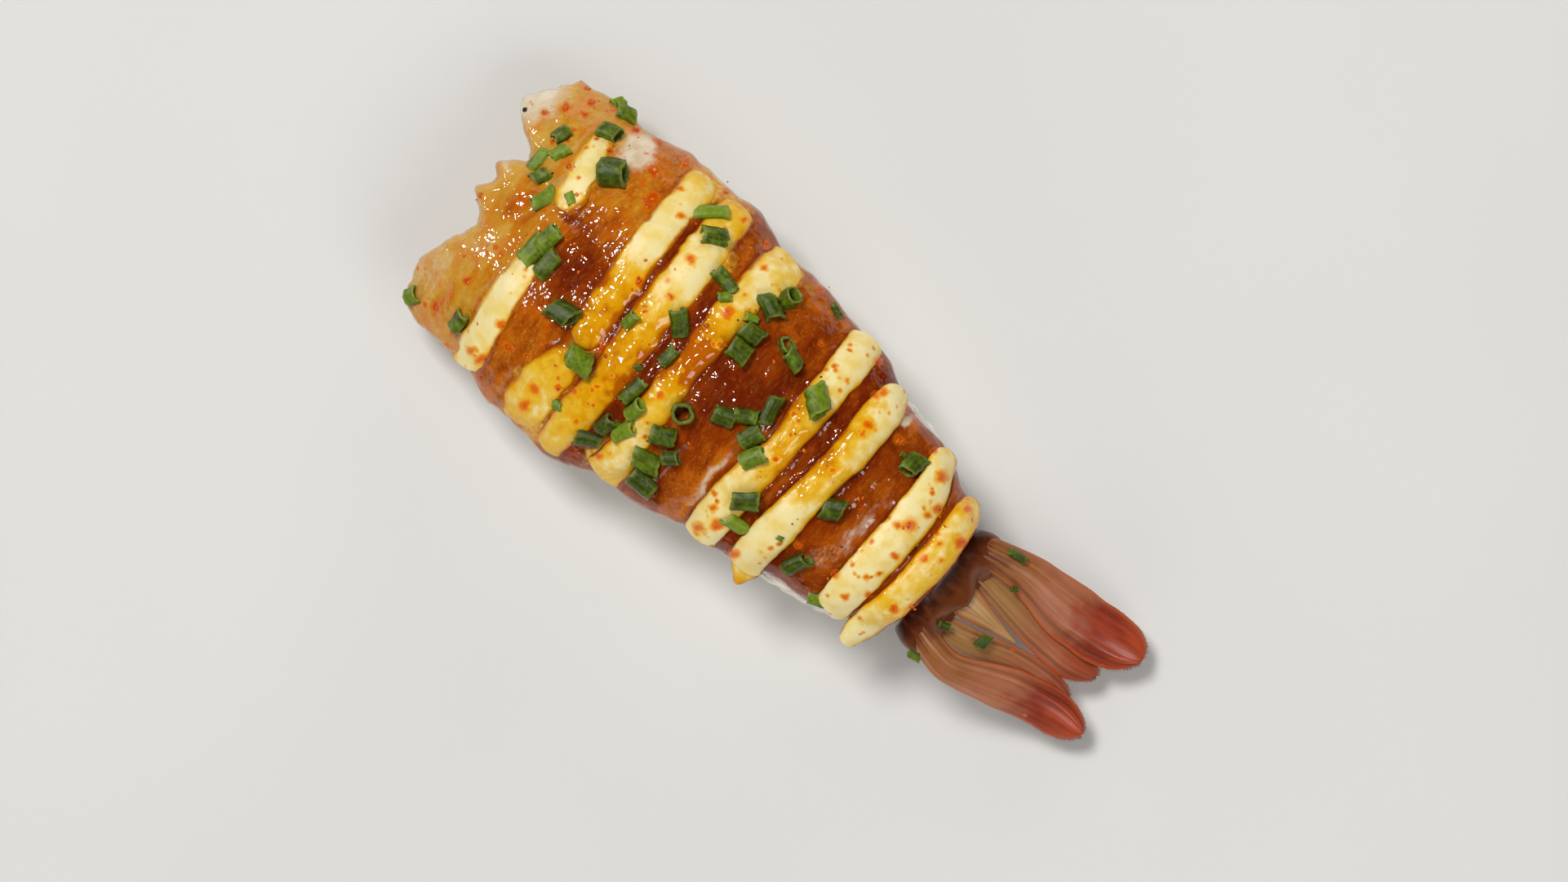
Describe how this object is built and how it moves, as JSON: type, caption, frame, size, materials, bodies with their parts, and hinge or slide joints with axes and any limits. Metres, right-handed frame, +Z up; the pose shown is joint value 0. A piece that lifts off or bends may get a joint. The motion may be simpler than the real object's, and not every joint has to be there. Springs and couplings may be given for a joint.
{
  "type": "shrimp nigiri",
  "caption": "Butterflied cooked shrimp with its tail fan, draped over an oblong block of sushi rice, with piped creamy stripes, brown glaze and cut chives on top.",
  "frame": {"origin": "under the middle of the whole piece's bounding box, on the surface that the rice stands on", "axes": "+X from the head end of the shrimp to its tail, +Y across to the shrimp's left side, +Z up"},
  "size_m": [0.1028, 0.0401, 0.028],
  "materials": {
    "rice": "moist translucent white rice grains, soft sheen",
    "shrimp_meat": "cooked shrimp meat under a wet brown glaze",
    "tail_shell": "thin ribbed shell, brown at the root and red at the tips",
    "creamy_sauce": "piped cream sauce, pale yellow to amber",
    "dark_glaze": "thick wet dark red-brown glaze",
    "chive_green": "moist cut chive, paler at the cut ends",
    "chilli_flake": "fine dry chilli flakes",
    "pepper_speck": "ground black pepper"
  },
  "bodies": {
    "root": {"rice_block": "rice", "shrimp": "shrimp_meat", "tail_fan": "tail_shell"}
  },
  "joints": []
}
